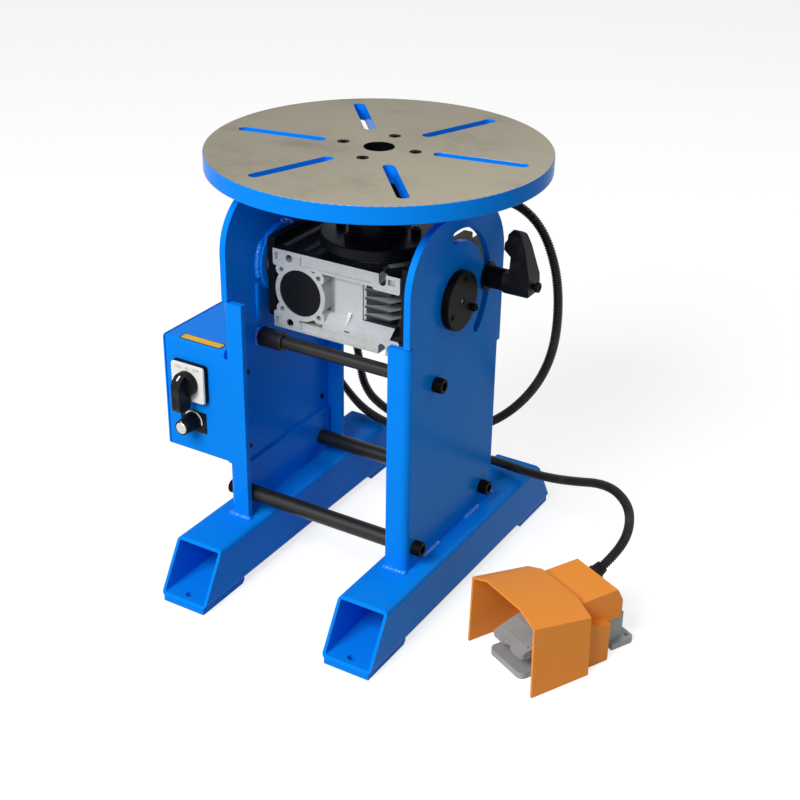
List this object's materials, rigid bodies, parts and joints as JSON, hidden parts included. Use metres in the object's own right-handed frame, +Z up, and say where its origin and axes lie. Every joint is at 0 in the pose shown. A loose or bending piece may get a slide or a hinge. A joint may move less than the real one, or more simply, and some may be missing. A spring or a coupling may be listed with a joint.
{
  "type": "welding positioner",
  "caption": "Bench welding positioner: slotted round table on a worm gearbox that tilts between two cheeks, with a clamp lever, control box and foot pedal.",
  "frame": {"origin": "on the floor, at the centre of the four floor-anchor holes in the feet", "axes": "+X to the operator's right along the tilt axis, +Y to the rear along the feet, +Z up along the table's axis at rest"},
  "size_m": [0.5894, 0.4715, 0.531],
  "materials": {
    "blue_paint": "gloss",
    "turned_steel": "satin",
    "zinc_screw": "satin",
    "black_oxide": "satin",
    "bronze": "satin",
    "bearing_steel": "polished",
    "cast_aluminium": "cast, satin",
    "black_paint": "satin",
    "black_plastic": "matte",
    "seal_rubber": "matte",
    "conduit_plastic": "matte",
    "circuit_board": "gloss",
    "orange_paint": "satin",
    "grey_cast": "cast, satin"
  },
  "bodies": {
    "frame": {"left_rail": "blue_paint", "right_rail": "blue_paint", "foot_pads": "blue_paint", "left_cheek": "blue_paint", "right_cheek": "blue_paint", "base_strips": "blue_paint", "lower_tie_bars": "turned_steel", "upper_tie_bar": "turned_steel", "tie_bar_screws": "zinc_screw", "bar_collar": "black_oxide", "bearing_rings": "blue_paint", "trunnion_bushes": "bronze", "stop_rib": "blue_paint", "control_box": "blue_paint", "control_box_cover": "blue_paint", "cover_screws": "black_oxide", "control_box_screws": "black_oxide", "control_electronics": "circuit_board", "switch_body": "black_plastic", "speed_scale": "black_plastic", "cable_glands": "black_plastic", "motor_conduit": "conduit_plastic", "pedal_conduit": "conduit_plastic", "pedal_base": "grey_cast", "pedal_guard": "orange_paint", "pedal_works": "black_plastic", "pedal_spring": "turned_steel"},
    "tilt_head": {"trunnion_shafts": "turned_steel", "trunnion_discs": "zinc_screw", "disc_screws": "zinc_screw", "left_side_plate": "black_paint", "right_side_plate": "black_paint", "rear_plate": "black_paint", "cradle_screws": "zinc_screw", "gearbox_housing": "cast_aluminium", "worm_cap": "black_paint", "worm_bearings": "bearing_steel", "output_bearings": "bearing_steel", "output_seals": "seal_rubber", "spindle_cover": "black_paint", "bearing_housing": "black_paint", "housing_screws": "zinc_screw", "motor_flange": "cast_aluminium", "motor_body": "black_paint", "motor_end_cap": "black_paint", "terminal_box": "black_plastic", "motor_gland": "black_plastic", "clamp_stud": "turned_steel", "clamp_sleeves": "turned_steel", "clamp_washer": "black_oxide"},
    "table": {"worm_wheel": "bronze", "table_hub": "turned_steel", "table_plate": "blue_paint", "table_screws": "black_oxide"},
    "worm": {"worm_shaft": "turned_steel"},
    "clamp_insert": {"clamp_insert": "black_plastic"},
    "clamp_handle": {"clamp_handle": "black_plastic"},
    "switch_handle": {"switch_handle": "black_plastic"},
    "speed_knob": {"speed_knob": "black_plastic"},
    "pedal_treadle": {"pedal_treadle": "grey_cast"}
  },
  "joints": [
    {"name": "tilt", "type": "hinge", "parent": "frame", "child": "tilt_head", "pos_m": [0, -0.016, 0.385], "axis": [1, 0, 0], "range_deg": [-45, 90], "deforming": ["motor_conduit"]},
    {"name": "table_spin", "type": "hinge", "parent": "tilt_head", "child": "table", "pos_m": [0, 0.022, 0.52], "axis": [0, 0, 1], "continuous": true},
    {"name": "worm_spin", "type": "hinge", "parent": "tilt_head", "child": "worm", "pos_m": [-0.063, 0.022, 0.36], "axis": [0, 1, 0], "continuous": true},
    {"name": "clamp_turn", "type": "hinge", "parent": "tilt_head", "child": "clamp_insert", "pos_m": [0.17, 0.05894, 0.38801], "axis": [1, 0, 0], "range_deg": [-90, 90]},
    {"name": "clamp_lift", "type": "slide", "parent": "clamp_insert", "child": "clamp_handle", "axis": [1, 0, 0], "range_m": [0, 0.003], "stiffness_N_per_m": 800, "springref_m": -0.002},
    {"name": "switch_turn", "type": "hinge", "parent": "frame", "child": "switch_handle", "pos_m": [-0.177, -0.13, 0.2445], "axis": [0, 1, 0], "range_deg": [-45, 45]},
    {"name": "speed_turn", "type": "hinge", "parent": "frame", "child": "speed_knob", "pos_m": [-0.177, -0.13, 0.1895], "axis": [0, 1, 0], "range_deg": [-105, 195]},
    {"name": "treadle_press", "type": "hinge", "parent": "frame", "child": "pedal_treadle", "pos_m": [0.30013, -0.05505, 0.056], "axis": [0.891, -0.454, 0], "range_deg": [0, 6], "stiffness_Nm_per_rad": 12, "springref_deg": -5.73, "deforming": ["pedal_spring"]}
  ],
  "couplings": [
    {"joint": "worm_spin", "follows": "table_spin", "ratio": 30}
  ]
}
